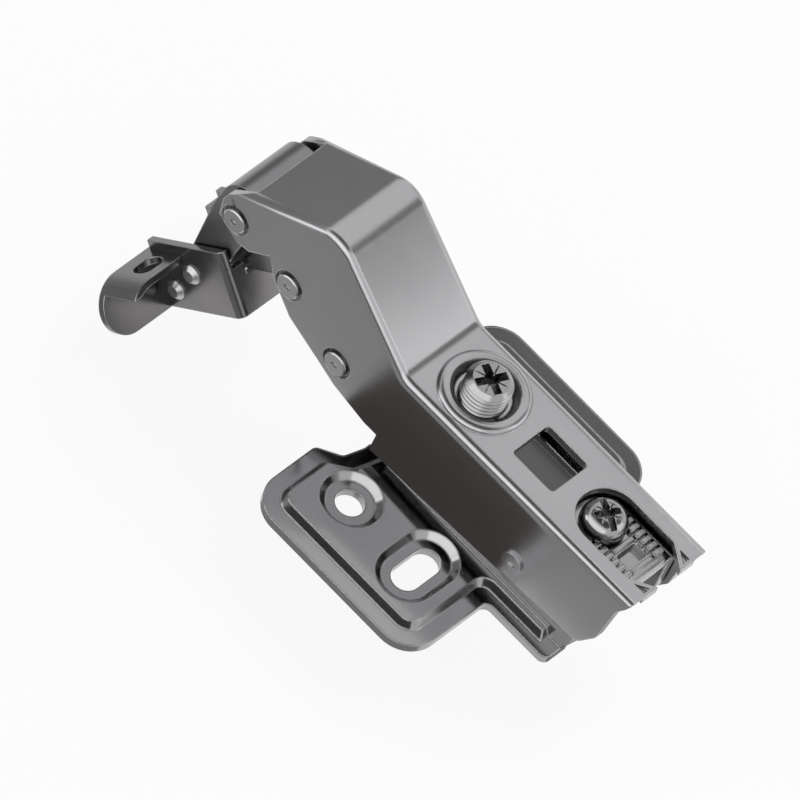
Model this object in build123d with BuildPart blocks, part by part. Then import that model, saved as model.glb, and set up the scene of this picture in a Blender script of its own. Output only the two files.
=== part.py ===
# Hydraulic hinge for aluminium-framed doors, standing open
# Millimetres, Z up from the cabinet panel, X runs from the door to the back of the cabinet
# The origin is the centre of the four fixing holes, on the underside of the mounting plate
import os
from math import atan2, cos, degrees, hypot, radians, sin

from build123d import *

# Sheet thicknesses
PLATE_SHEET = 1.4
ARM_SHEET = 1.3
LINK_SHEET = 1.3
BRACKET_SHEET = 1.1
WING_SHEET = 1.0

# Clearances, how far a cut runs past the metal, and how near counts as touching
RUNNING_FIT = 0.05
SLIDE_GAP = 0.3
RAIL_SIDE_GAP = 0.4
ROOF_GAP = 0.5
CLEAR = 0.3
BEYOND = 3.0
TOUCH = 0.01

# Mounting plate
FIXING_PITCH_X = 12.8
FIXING_PITCH_Y = 28.0
FIXING_HOLE_D = 4.2
FIXING_SLOT_TRAVEL = 4.0
DISH_R = 4.5
DISH_LIP = 0.4
DISH_DEPTH = 1.0
DISH_SLOPE = 45
PLATE_LENGTH = 31.2
PLATE_WIDTH = 49.2
PLATE_CORNER_R = 5.0
PLATE_NOTCH_R = 1.2
PANEL_INSET = 1.6
PANEL_RISE = 1.3
PANEL_CORNER_R = 3.5
PANEL_NOTCH_R = 0.8
PANEL_WALL = 0.6
PANEL_SLOPE = 30
INNER_INSET_SHARE = 0.4
FRONT_NOTCH_DEPTH = 4.2
FRONT_NOTCH_HALF = 11.4
FRONT_NOTCH_FLOOR = 5.9
FRONT_NOTCH_STEP = (0.85, 2.2)
TONGUE_LENGTH = 11.3
TONGUE_WIDTH = 18.4

# Rail pressed up from the plate
RAIL_HEIGHT = 18.6
RAIL_FRONT_X = -7.4
RAIL_REAR_X = 30.4
RAIL_EDGE_R = 1.2
RAIL_TAIL_Z = 11.2
RAIL_WINDOW_ROOM = (1.3, 0.6, 0.2)
RAIL_WINDOW_R = 1.0
NECK_SLOT_ROOM = 3.7

# Toothed clamp plate on the rail
CLAMP_PLATE_T = 1.8
CLAMP_PLATE_LENGTH = 14.2
CLAMP_PLATE_WIDTH = 8.2
CLAMP_PLATE_R = 1.0
TOOTH_COUNT = 7
TOOTH_PITCH = 1.15
TOOTH_DEPTH = 0.5
TOOTH_STRIP = 1.5
TOOTH_END_MARGIN = 0.8
CLAMP_SLOT_REAR = 1.8
CLAMP_SLOT_WIDTH = 4.2

# Arm, its heights measured from its flat top
ARM_WIDTH = 15.8
ARM_OVERHANG = 3.1
BODY_FRONT_X = -10.0
CREST = (-27.5, 12.7)
TIP = (-41.4, 5.1)
ARM_EDGE_R = 1.3
CREST_R = 5.0
SWAN_R = 3.0
EAR_R = 1.0
WALL_FRONT = -17.3
FRONT_STEP = -13.7
HEEL_POINTS = [(-1.5, -2.9), (-2.3, -10.6), (-4.6, -14.6)]
HEEL_R = 2.0
BELLY_POINTS = [(-12.4, -13.7), (-18.7, -12.5), (-22.2, -11.1), (-28.8, -8.6), (-33.4, -4.8), (-35.2, -1.8)]
EAR_NECK = (-38.3, -4.6)
EAR_REACH = 3.0

# Overlay screw and its boss
OVERLAY_X = -2.1
THREAD_R = 3.4
THREAD_CHAMFER = 0.8
OVERLAY_RISE = 3.5
OVERLAY_CROSS = (4.4, 1.0, 2.2)
NECK_R = 1.8
FOOT_R = 2.9
FOOT_T = 1.4
BOSS_R = 6.2
BOSS_RISE = 0.7
BOSS_SLOPE = 35
BOSS_DISH_R = 4.9
BOSS_DISH_DEPTH = 1.5
BOSS_RIM_R = 0.35
COLLAR_WALL = 1.1
COLLAR_DROP = 0.9

# Clamp screw, its place measured from the end of the rail
CLAMP_FROM_REAR = 9.0
CLAMP_HEAD_R = 3.4
CLAMP_HEAD_T = 2.6
CLAMP_CROWN_R = 2.3
CLAMP_SHANK_R = 2.0
CLAMP_SHANK_LENGTH = 9.5
CLAMP_CROSS = (4.0, 0.9, 1.7)
HEAD_SEAT = 0.1

# Openings in the top of the arm
WINDOW_X0 = 6.7
WINDOW_X1 = 14.4
WINDOW_WIDTH = 7.2
WINDOW_R = 0.6
ARM_SLOT_WIDTH = 9.4
ARM_SLOT_ROOM = 0.8
HOOK_LENGTH = 4.2
HOOK_REACH = 2.5
HOOK_ROOT = 0.4
HOOK_RIM = 0.55
HOOK_HOLLOW = 0.5

# Linkage pivots with the door open, as X and the height from the arm's flat top
TIP_PIVOT_AT = (-42.0, -1.6)
HEAD_PIVOT_AT = (-30.9, -3.5)
UPPER_PIVOT_AT = (-44.4, -18.9)
LOWER_PIVOT_AT = (-45.4, -24.05)
DAMPER_PIVOT_AT = (-19.75, -8.45)
STUD_AT = (15.7, -11.8)
PIN_R = 1.5
PIN_HEAD_OUT = 0.8
PIN_CROWN = 0.6
RIVET_HEAD_R = 1.9
RIVET_HEAD_OUT = 0.45
RIVET_BEVEL = 0.2
RIVET_MARK_R = 0.55
RIVET_MARK_DEPTH = 0.5
DIMPLE_R = 2.4
DIMPLE_DEPTH = 0.75
STUD_R = 1.2
STUD_HEAD_R = 1.7
STUD_HEAD_T = 0.4
STUD_MARK_R = 0.6
STUD_MARK_DEPTH = 0.3
HEAD_PLAY = 1.1

# Links
OUTER_LINK_WIDTH = 11.8
OUTER_LINK_TOP_R = 4.3
OUTER_EYE_R = 2.8
OUTER_LEG = 2.4
OUTER_WEB_REACH = 4.0
OUTER_WEB_WRAP = 2.2
INNER_LINK_WIDTH = 7.4
INNER_ARM_EYE_R = 4.1
INNER_EYE_R = 2.6
INNER_BAR = 3.4
INNER_BEND_FROM_EYE = 8.0
INNER_BOW = 3.3
TAIL_LENGTH = 7.9
TAIL_OFFSET = 2.1
TAIL_R = 1.3

# Door bracket, measured along the wall and down from its top edge
BRACKET_TURN = 44.0
BRACKET_CORNER_AT = (-53.2, -21.5)
BRACKET_LENGTH = 15.6
BRACKET_DEPTH = 10.2
BRACKET_WIDTH = 14.6
BRACKET_BEND_R = 1.2
WEB_TOP_DROP = 4.8
WEB_FLANGE = 3.2
FLANGE_TOP_DROP = 3.0
WING_TOP_DROP = 1.6
WING_HEIGHT = 9.0
WING_SPAN = 36.0
WING_FLANGE = 7.0
WING_FLANGE_DROP = 1.6
WING_SEAT = 0.05
WING_HOLE_WIDTH = 3.3
WING_HOLE_TRAVEL = 1.2
WING_HOLE_Y = 10.6
WING_HOLE_BACK = 3.85
WING_NOTCH_GAP = 0.7
WING_NOTCH_DEPTH = 6.6

# Damper
DAMPER_TILT = -35.0
DAMPER_R = 3.2
DAMPER_WALL = 0.6
DAMPER_LIFT = 5.4
DAMPER_BACK = 5.0
DAMPER_FRONT = -5.0
DAMPER_FLOOR = 1.0
PLUG_T = 1.6
ROD_R = 0.9
PISTON_T = 1.8
CAP_R = 2.4
CAP_T = 2.4
CAP_SKIN = 1.0
CAP_FACE = -12.3
CRADLE_NECK = 4.6
CRADLE_LENGTH = 7.0
CRADLE_WALL = 1.0

# Closing spring strip, its bends measured from the damper rivet
SPRING_T = 0.8
SPRING_WIDTH = 8.0
SPRING_BENDS = [(4.4, -2.2), (2.6, -3.05), (-0.6, -3.05), (-6.6, 1.1)]

# Plane of the fold, looking along Y
SIDE = Plane.XZ
INNER_HALF = ARM_WIDTH / 2 - ARM_SHEET
RAIL_WIDTH = 2 * (INNER_HALF - RAIL_SIDE_GAP)
CLAMP_PLATE_TOP = RAIL_HEIGHT + CLAMP_PLATE_T
ARM_TOP_Z = CLAMP_PLATE_TOP + ROOF_GAP + ARM_SHEET
OVERLAY_TOP_Z = ARM_TOP_Z + OVERLAY_RISE
ARM_REAR_X = RAIL_REAR_X + ARM_OVERHANG
CLAMP_X = RAIL_REAR_X - CLAMP_FROM_REAR


def lifted(points):
    """Points whose heights were given from the arm's flat top, lifted to that top."""
    return [(x, z + ARM_TOP_Z) for x, z in points]


TIP_PIVOT, HEAD_PIVOT = lifted([TIP_PIVOT_AT, HEAD_PIVOT_AT])
DAMPER_PIVOT, STUD_CENTRE = lifted([DAMPER_PIVOT_AT, STUD_AT])
UPPER_PIVOT, LOWER_PIVOT, BRACKET_CORNER = lifted([UPPER_PIVOT_AT, LOWER_PIVOT_AT, BRACKET_CORNER_AT])
ALONG_BRACKET = (cos(radians(BRACKET_TURN)), 0, sin(radians(BRACKET_TURN)))
BRACKET_ORIGIN = (BRACKET_CORNER[0], 0, BRACKET_CORNER[1])
BRACKET_PLANE = Plane(origin=BRACKET_ORIGIN, x_dir=ALONG_BRACKET, z_dir=(0, -1, 0))


def finish(builder, name):
    """Label a finished piece and write its STEP file."""
    builder.part.label = name
    export_step(builder.part, f"parts/{name}.step")


def inset_chain(points, distance):
    """Shift an open chain of XZ points to its right-hand side by a distance, with mitred corners."""
    normals = []
    for (x0, z0), (x1, z1) in zip(points, points[1:]):
        length = hypot(x1 - x0, z1 - z0)
        normals.append(((z1 - z0) / length, -(x1 - x0) / length))
    shifted = []
    for index, (x, z) in enumerate(points):
        before = normals[max(index - 1, 0)]
        after = normals[min(index, len(normals) - 1)]
        share = distance / (1 + before[0] * after[0] + before[1] * after[1])
        shifted.append((x + (before[0] + after[0]) * share, z + (before[1] + after[1]) * share))
    return shifted


def lane(start, end, width):
    """Round-ended bar between two points of the current sketch."""
    run = (end[0] - start[0], end[1] - start[1])
    middle = ((start[0] + end[0]) / 2, (start[1] + end[1]) / 2)
    with Locations(middle):
        SlotCenterToCenter(hypot(*run), width, rotation=degrees(atan2(run[1], run[0])))


def cross_recess(size):
    """Two crossing bars of a screw's recess, as span, width and depth."""
    Rectangle(size[0], size[1])
    Rectangle(size[1], size[0])


def across(pivot, radius, y_from, y_to, mode=Mode.ADD):
    """Round bar along Y at an XZ pivot, inside the current part."""
    with Locations((pivot[0], (y_from + y_to) / 2, pivot[1])):
        Cylinder(radius, y_to - y_from, rotation=(90, 0, 0), mode=mode)


def rims_at(builder, reach):
    """Edges whose middle lies at a distance from the hinge's middle plane."""
    return [e for e in builder.edges() if abs(abs(e.center().Y) - reach) < TOUCH]


os.makedirs("parts", exist_ok=True)

# Mounting plate: pressed butterfly wings, dished holes and the tall rail
wing_front = -PLATE_LENGTH / 2
wing_rear = PLATE_LENGTH / 2
tongue_rear = wing_rear + TONGUE_LENGTH
hole_xy = [(-FIXING_PITCH_X / 2, side * FIXING_PITCH_Y / 2) for side in (-1, 1)]
slot_xy = [(FIXING_PITCH_X / 2, side * FIXING_PITCH_Y / 2) for side in (-1, 1)]
panel_top = PLATE_SHEET + PANEL_RISE


def plate_outline(inset, corner, small):
    """Butterfly outline of the plate, drawn inwards by an inset and with rounded corners."""
    front = wing_front + inset
    notch = front + FRONT_NOTCH_DEPTH
    tongue_side = TONGUE_WIDTH / 2 - inset * INNER_INSET_SHARE
    far_side = [
        (notch, FRONT_NOTCH_FLOOR),
        (notch - FRONT_NOTCH_STEP[0], FRONT_NOTCH_HALF - FRONT_NOTCH_STEP[1]),
        (front, FRONT_NOTCH_HALF + inset * INNER_INSET_SHARE),
        (front, PLATE_WIDTH / 2 - inset),
        (wing_rear - inset, PLATE_WIDTH / 2 - inset),
        (wing_rear - inset, tongue_side),
        (tongue_rear - inset, tongue_side),
    ]
    near_side = [(x, -y) for x, y in reversed(far_side)]
    with BuildSketch() as outline:
        with BuildLine():
            Polyline(*reversed(far_side + near_side), close=True)
        make_face()
        fillet([v for v in outline.vertices() if abs(v.Y) > PLATE_WIDTH / 2 - inset - TOUCH], corner)
        inner_corners = [v for v in outline.vertices() if abs(v.Y) < FRONT_NOTCH_HALF + PANEL_INSET]
        fillet(inner_corners, small)
    return outline.sketch


ledge_outline = plate_outline(0, PLATE_CORNER_R, PLATE_NOTCH_R)
panel_outline = plate_outline(PANEL_INSET, PANEL_CORNER_R, PANEL_NOTCH_R)
hollow_outline = plate_outline(PANEL_INSET + PANEL_WALL, PANEL_CORNER_R, PANEL_NOTCH_R)
rail_middle = (RAIL_FRONT_X + RAIL_REAR_X) / 2
rail_length = RAIL_REAR_X - RAIL_FRONT_X
rail_window_x0 = WINDOW_X0 - RAIL_WINDOW_ROOM[0]
rail_window_x1 = WINDOW_X1 + RAIL_WINDOW_ROOM[1]
rail_window_width = WINDOW_WIDTH + 2 * RAIL_WINDOW_ROOM[2]

with BuildPart() as mounting_plate:
    with BuildSketch():
        add(ledge_outline)
    extrude(amount=PLATE_SHEET)
    with BuildSketch():
        add(panel_outline)
    extrude(amount=panel_top, taper=PANEL_SLOPE)
    with BuildSketch():
        add(hollow_outline)
    extrude(amount=PANEL_RISE, taper=PANEL_SLOPE, mode=Mode.SUBTRACT)
    # Dishes around the fixing holes reach down through the hollow
    with BuildSketch(Plane.XY.offset(panel_top - DISH_DEPTH - PLATE_SHEET)):
        with Locations(*hole_xy):
            Circle(DISH_R + DISH_LIP)
        with Locations(*slot_xy):
            SlotCenterToCenter(FIXING_SLOT_TRAVEL, 2 * (DISH_R + DISH_LIP), rotation=90)
    extrude(amount=DISH_DEPTH + PLATE_SHEET)
    with BuildSketch(Plane.XY.offset(panel_top)):
        with Locations(*hole_xy):
            Circle(DISH_R)
        with Locations(*slot_xy):
            SlotCenterToCenter(FIXING_SLOT_TRAVEL, 2 * DISH_R, rotation=90)
    extrude(amount=-DISH_DEPTH, taper=DISH_SLOPE, mode=Mode.SUBTRACT)
    with BuildSketch(Plane.XY.offset(panel_top)):
        with Locations(*hole_xy):
            Circle(FIXING_HOLE_D / 2)
        with Locations(*slot_xy):
            SlotCenterToCenter(FIXING_SLOT_TRAVEL, FIXING_HOLE_D, rotation=90)
    extrude(amount=-panel_top, mode=Mode.SUBTRACT)
    # Rail: an inverted channel with its roof under the arm
    with BuildSketch(Plane.XY.offset(PLATE_SHEET / 2)):
        with Locations((rail_middle, 0)):
            Rectangle(rail_length, RAIL_WIDTH)
    extrude(amount=RAIL_HEIGHT - PLATE_SHEET / 2)
    roof_edges = mounting_plate.edges().filter_by(Axis.X).group_by(Axis.Z)[-1]
    fillet(roof_edges, RAIL_EDGE_R)
    with BuildSketch():
        with Locations((rail_middle, 0)):
            Rectangle(rail_length + 2 * PLATE_LENGTH, RAIL_WIDTH - 2 * PLATE_SHEET)
    extrude(amount=RAIL_HEIGHT - PLATE_SHEET, mode=Mode.SUBTRACT)
    with BuildSketch(Plane.XY.offset(RAIL_HEIGHT)):
        neck_slot_r = NECK_R + CLEAR
        lane((RAIL_FRONT_X - BEYOND, 0), (OVERLAY_X + NECK_SLOT_ROOM - neck_slot_r, 0), 2 * neck_slot_r)
        with Locations(((rail_window_x0 + rail_window_x1) / 2, 0)):
            RectangleRounded(rail_window_x1 - rail_window_x0, rail_window_width, RAIL_WINDOW_R)
        with Locations((CLAMP_X, 0)):
            Circle(CLAMP_SHANK_R + RUNNING_FIT)
    extrude(amount=-PLATE_SHEET, mode=Mode.SUBTRACT)
    # The rear part of the rail stands clear of the tongue's end, so its foot is cut back in a slope
    with BuildSketch(SIDE):
        with BuildLine():
            Polyline(
                (tongue_rear, PLATE_SHEET),
                (RAIL_REAR_X, RAIL_TAIL_Z),
                (RAIL_REAR_X + BEYOND, RAIL_TAIL_Z),
                (RAIL_REAR_X + BEYOND, -BEYOND),
                (tongue_rear, -BEYOND),
                close=True,
            )
        make_face()
    extrude(amount=RAIL_WIDTH, both=True, mode=Mode.SUBTRACT)
finish(mounting_plate, "mounting_plate")

# Toothed clamp plate on top of the rail
clamp_middle = RAIL_REAR_X - CLAMP_PLATE_LENGTH / 2
tooth_y = CLAMP_PLATE_WIDTH / 2 - TOOTH_STRIP / 2
first_tooth = RAIL_REAR_X - TOOTH_END_MARGIN - TOOTH_COUNT * TOOTH_PITCH
slot_front = CLAMP_X + CLAMP_HEAD_R + CLEAR
slot_rear = RAIL_REAR_X - CLAMP_SLOT_REAR
with BuildPart() as clamp_plate:
    with BuildSketch(Plane.XY.offset(RAIL_HEIGHT)):
        with Locations((clamp_middle, 0)):
            RectangleRounded(CLAMP_PLATE_LENGTH, CLAMP_PLATE_WIDTH, CLAMP_PLATE_R)
    extrude(amount=CLAMP_PLATE_T)
    with BuildSketch(Plane.XY.offset(CLAMP_PLATE_TOP)):
        with Locations((CLAMP_X, 0)):
            Circle(CLAMP_SHANK_R + RUNNING_FIT)
        with Locations(((slot_front + slot_rear) / 2, 0)):
            Rectangle(slot_rear - slot_front, CLAMP_SLOT_WIDTH)
    extrude(amount=-CLAMP_PLATE_T, mode=Mode.SUBTRACT)
    # Teeth across both long edges, behind the screw
    for index in range(TOOTH_COUNT):
        root = first_tooth + (index + 0.5) * TOOTH_PITCH
        for side in (-1, 1):
            with BuildSketch(Plane.XZ.offset(-side * tooth_y)):
                with Locations((root, CLAMP_PLATE_TOP)):
                    Rectangle(TOOTH_DEPTH * 2 ** 0.5, TOOTH_DEPTH * 2 ** 0.5, rotation=45)
            extrude(amount=TOOTH_STRIP / 2, both=True, mode=Mode.SUBTRACT)
finish(clamp_plate, "clamp_plate")

# Clamp screw: pan head with a cross recess and a plain shank
head_z = CLAMP_PLATE_TOP + HEAD_SEAT
with BuildPart() as clamp_screw:
    with BuildSketch(Plane.XY.offset(head_z)):
        with Locations((CLAMP_X, 0)):
            Circle(CLAMP_HEAD_R)
    extrude(amount=CLAMP_HEAD_T)
    crown = clamp_screw.edges().filter_by(GeomType.CIRCLE).sort_by(Axis.Z)[-1]
    fillet(crown, CLAMP_CROWN_R)
    with BuildSketch(Plane.XY.offset(head_z)):
        with Locations((CLAMP_X, 0)):
            Circle(CLAMP_SHANK_R)
    extrude(amount=-CLAMP_SHANK_LENGTH)
    with BuildSketch(Plane.XY.offset(head_z + CLAMP_HEAD_T)):
        with Locations((CLAMP_X, 0)):
            cross_recess(CLAMP_CROSS)
    extrude(amount=-CLAMP_CROSS[2], mode=Mode.SUBTRACT)
finish(clamp_screw, "clamp_screw")

# Arm: a pressed channel with a cranked head
tip, crest, body_front = lifted([TIP, CREST, (BODY_FRONT_X, 0)])
arm_rear = (ARM_REAR_X, ARM_TOP_Z)
top_chain = [tip, crest, body_front, arm_rear]
inner_chain = inset_chain(top_chain, ARM_SHEET)
ear_x, ear_z = TIP_PIVOT
ear_points = [
    *lifted([EAR_NECK]),
    (ear_x + 0.4 * EAR_REACH, ear_z - 1.15 * EAR_REACH),
    (ear_x - 0.85 * EAR_REACH, ear_z - 0.55 * EAR_REACH),
    (ear_x - EAR_REACH, ear_z + 0.55 * EAR_REACH),
    (ear_x - 0.85 * EAR_REACH, ear_z + 1.1 * EAR_REACH),
]
heel_points = lifted([(ARM_REAR_X + x, z) for x, z in HEEL_POINTS])
front_points = lifted([(BODY_FRONT_X, WALL_FRONT), (BODY_FRONT_X, FRONT_STEP)])
belly_points = lifted(BELLY_POINTS)
wall = ARM_WIDTH / 2
boss_top = ARM_TOP_Z + BOSS_RISE
arm_slot_x0 = CLAMP_X - CLAMP_HEAD_R - ARM_SLOT_ROOM
with BuildPart() as hinge_arm:
    with BuildSketch(SIDE) as side_sketch:
        with BuildLine():
            Polyline(*top_chain, *heel_points, *front_points, *belly_points, *ear_points, close=True)
        make_face()
        fillet(side_sketch.vertices().sort_by_distance(crest)[0], CREST_R)
        fillet(side_sketch.vertices().sort_by_distance(body_front)[0], SWAN_R)
        fillet([side_sketch.vertices().sort_by_distance(point)[0] for point in heel_points[1:]], HEEL_R)
        ear_corners = [side_sketch.vertices().sort_by_distance(point)[0] for point in ear_points[1:]]
        fillet(ear_corners, EAR_R)
    extrude(amount=wall, both=True)
    side_edges = rims_at(hinge_arm, wall)
    top_edges = [e for e in side_edges if e.center().Z > ARM_TOP_Z - TOUCH and e.center().X > tip[0]]
    fillet(top_edges, ARM_EDGE_R)
    with BuildSketch(SIDE) as inner_sketch:
        with BuildLine():
            tail_in = inner_chain[-1]
            Polyline(
                *inner_chain,
                (tail_in[0] + BEYOND, tail_in[1]),
                (tail_in[0] + BEYOND, -BEYOND),
                (tip[0] - 4 * BEYOND, -BEYOND),
                (tip[0] - 4 * BEYOND, tip[1] + BEYOND),
                tip,
                close=True,
            )
        make_face()
        fillet(inner_sketch.vertices().sort_by_distance(inner_chain[1])[0], CREST_R - ARM_SHEET)
    extrude(amount=INNER_HALF, both=True, mode=Mode.SUBTRACT)
    # Raised boss with a dish, its threaded collar drawn down
    with BuildSketch(Plane.XY.offset(ARM_TOP_Z)):
        with Locations((OVERLAY_X, 0)):
            Circle(BOSS_R)
    extrude(amount=BOSS_RISE, taper=BOSS_SLOPE)
    with BuildSketch(Plane.XY.offset(ARM_TOP_Z - ARM_SHEET)):
        with Locations((OVERLAY_X, 0)):
            Circle(THREAD_R + COLLAR_WALL)
    extrude(amount=-COLLAR_DROP)
    with BuildSketch(Plane.XY.offset(boss_top)):
        with Locations((OVERLAY_X, 0)):
            Circle(BOSS_DISH_R)
    extrude(amount=-BOSS_DISH_DEPTH, taper=PANEL_SLOPE, mode=Mode.SUBTRACT)
    boss_rims = hinge_arm.edges().filter_by(GeomType.CIRCLE).filter_by_position(Axis.Z, boss_top, boss_top)
    fillet(boss_rims, BOSS_RIM_R)
    with BuildSketch(Plane.XY.offset(boss_top)):
        with Locations((OVERLAY_X, 0)):
            Circle(THREAD_R + RUNNING_FIT)
    extrude(amount=-BOSS_RISE - ARM_SHEET - COLLAR_DROP, mode=Mode.SUBTRACT)
    # Window and the open-ended rear slot
    with BuildSketch(Plane.XY.offset(ARM_TOP_Z)):
        with Locations(((WINDOW_X0 + WINDOW_X1) / 2, 0)):
            RectangleRounded(WINDOW_X1 - WINDOW_X0, WINDOW_WIDTH, WINDOW_R)
        lane((arm_slot_x0 + ARM_SLOT_WIDTH / 2, 0), (ARM_REAR_X + ARM_SLOT_WIDTH, 0), ARM_SLOT_WIDTH)
    extrude(amount=-ARM_SHEET, mode=Mode.SUBTRACT)
    # Lips that narrow the mouth of the slot, each with a pressed hollow
    for side in (-1, 1):
        root_y = side * (ARM_SLOT_WIDTH / 2 + HOOK_ROOT)
        lip_y = side * (ARM_SLOT_WIDTH / 2 - HOOK_REACH)
        with BuildSketch(Plane.XY.offset(ARM_TOP_Z)) as lip_sketch:
            with BuildLine():
                lip_root = (ARM_REAR_X - HOOK_LENGTH, root_y)
                Polyline(lip_root, (ARM_REAR_X, root_y), (ARM_REAR_X, lip_y), close=True)
            make_face()
        extrude(amount=-ARM_SHEET)
        with BuildSketch(Plane.XY.offset(ARM_TOP_Z)):
            add(lip_sketch.sketch_local)
            offset(amount=-HOOK_RIM)
        extrude(amount=-HOOK_HOLLOW, mode=Mode.SUBTRACT)
    # Pivot holes with their dimples, and the stud holes
    for pivot in (TIP_PIVOT, HEAD_PIVOT, DAMPER_PIVOT):
        across(pivot, PIN_R, -wall - BEYOND, wall + BEYOND, mode=Mode.SUBTRACT)
        for side in (-1, 1):
            ends = sorted((side * (wall + BEYOND), side * (wall - DIMPLE_DEPTH)))
            across(pivot, DIMPLE_R, *ends, mode=Mode.SUBTRACT)
    across(STUD_CENTRE, STUD_R, -wall - BEYOND, wall + BEYOND, mode=Mode.SUBTRACT)
finish(hinge_arm, "hinge_arm")

# Riveted pivots of the arm
rivet_end = wall + RIVET_HEAD_OUT
for name, pivot in (("tip_rivet", TIP_PIVOT), ("head_rivet", HEAD_PIVOT), ("damper_rivet", DAMPER_PIVOT)):
    with BuildPart() as rivet:
        across(pivot, PIN_R, -wall, wall)
        for side in (-1, 1):
            ends = sorted((side * (wall - DIMPLE_DEPTH), side * rivet_end))
            across(pivot, RIVET_HEAD_R, *ends)
        chamfer(rims_at(rivet, rivet_end), RIVET_BEVEL)
        for side in (-1, 1):
            ends = sorted((side * rivet_end, side * (rivet_end - RIVET_MARK_DEPTH)))
            across(pivot, RIVET_MARK_R, *ends, mode=Mode.SUBTRACT)
    finish(rivet, name)

# Short studs that keep the arm square on its rail
for name, side in (("guide_stud_near", -1), ("guide_stud_far", 1)):
    with BuildPart() as stud:
        across(STUD_CENTRE, STUD_R, *sorted((side * wall, side * INNER_HALF)))
        stud_end = wall + STUD_HEAD_T
        across(STUD_CENTRE, STUD_HEAD_R, *sorted((side * wall, side * stud_end)))
        mark_ends = sorted((side * stud_end, side * (stud_end - STUD_MARK_DEPTH)))
        across(STUD_CENTRE, STUD_MARK_R, *mark_ends, mode=Mode.SUBTRACT)
    finish(stud, name)

# Overlay screw: threaded body, neck held in the rail and a wide foot under the roof
thread_bottom = RAIL_HEIGHT + SLIDE_GAP
foot_top = RAIL_HEIGHT - PLATE_SHEET - SLIDE_GAP
with BuildPart() as overlay_screw:
    with BuildSketch(Plane.XY.offset(thread_bottom)):
        with Locations((OVERLAY_X, 0)):
            Circle(THREAD_R)
    extrude(amount=OVERLAY_TOP_Z - thread_bottom)
    rim = overlay_screw.edges().filter_by(GeomType.CIRCLE).sort_by(Axis.Z)[-1]
    chamfer(rim, THREAD_CHAMFER)
    with BuildSketch(Plane.XY.offset(foot_top)):
        with Locations((OVERLAY_X, 0)):
            Circle(NECK_R)
    extrude(amount=thread_bottom - foot_top)
    with BuildSketch(Plane.XY.offset(foot_top - FOOT_T)):
        with Locations((OVERLAY_X, 0)):
            Circle(FOOT_R)
    extrude(amount=FOOT_T)
    with BuildSketch(Plane.XY.offset(OVERLAY_TOP_Z)):
        with Locations((OVERLAY_X, 0)):
            cross_recess(OVERLAY_CROSS)
    extrude(amount=-OVERLAY_CROSS[2], mode=Mode.SUBTRACT)
finish(overlay_screw, "overlay_screw")

# Outer link: a folded channel whose web wraps over the tip of the arm
tip_to_upper = hypot(UPPER_PIVOT[0] - TIP_PIVOT[0], UPPER_PIVOT[1] - TIP_PIVOT[1])
link_down = (UPPER_PIVOT[0] - TIP_PIVOT[0]) / tip_to_upper, (UPPER_PIVOT[1] - TIP_PIVOT[1]) / tip_to_upper
link_origin = (TIP_PIVOT[0], 0, TIP_PIVOT[1])
link_plane = Plane(origin=link_origin, x_dir=(link_down[0], 0, link_down[1]), z_dir=(0, -1, 0))
leg_outer = OUTER_LINK_WIDTH / 2
leg_inner = leg_outer - LINK_SHEET
web_inside = OUTER_LINK_TOP_R - LINK_SHEET
with BuildPart() as outer_link:
    with BuildSketch(link_plane):
        Circle(OUTER_LINK_TOP_R)
        with BuildLine():
            Polyline(
                (0, -OUTER_LINK_TOP_R),
                (OUTER_WEB_REACH, -OUTER_LINK_TOP_R),
                (tip_to_upper, -OUTER_LEG),
                (tip_to_upper, OUTER_LEG),
                (OUTER_WEB_REACH, OUTER_LEG),
                (0, OUTER_LINK_TOP_R),
                close=True,
            )
        make_face()
        with Locations((tip_to_upper, 0)):
            Circle(OUTER_EYE_R)
    extrude(amount=leg_outer, both=True)
    # Hollow between the legs, leaving the web at the front and over the top
    with BuildSketch(link_plane):
        Circle(web_inside)
        with BuildLine():
            Polyline(
                (0, -web_inside),
                (OUTER_WEB_REACH, -web_inside),
                (OUTER_WEB_REACH, -OUTER_LINK_TOP_R - BEYOND),
                (tip_to_upper + 2 * BEYOND, -OUTER_LINK_TOP_R - BEYOND),
                (tip_to_upper + 2 * BEYOND, OUTER_LINK_TOP_R + BEYOND),
                (-OUTER_WEB_WRAP, OUTER_LINK_TOP_R + BEYOND),
                (-OUTER_WEB_WRAP, 0),
                close=True,
            )
        make_face()
    extrude(amount=leg_inner, both=True, mode=Mode.SUBTRACT)
    with BuildSketch(link_plane):
        Circle(PIN_R + RUNNING_FIT)
        with Locations((tip_to_upper, 0)):
            Circle(PIN_R + RUNNING_FIT)
    extrude(amount=OUTER_LINK_WIDTH, both=True, mode=Mode.SUBTRACT)
finish(outer_link, "outer_link")

# Inner link: a solid cranked bar with a tail that works the damper
head_to_lower = (LOWER_PIVOT[0] - HEAD_PIVOT[0], LOWER_PIVOT[1] - HEAD_PIVOT[1])
inner_length = hypot(*head_to_lower)
inner_unit = (head_to_lower[0] / inner_length, head_to_lower[1] / inner_length)


def along_inner(distance, sideways):
    """XZ point at a distance from the head pivot along the inner link, and to its upper side."""
    return (
        HEAD_PIVOT[0] + inner_unit[0] * distance + inner_unit[1] * sideways,
        HEAD_PIVOT[1] + inner_unit[1] * distance - inner_unit[0] * sideways,
    )


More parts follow.
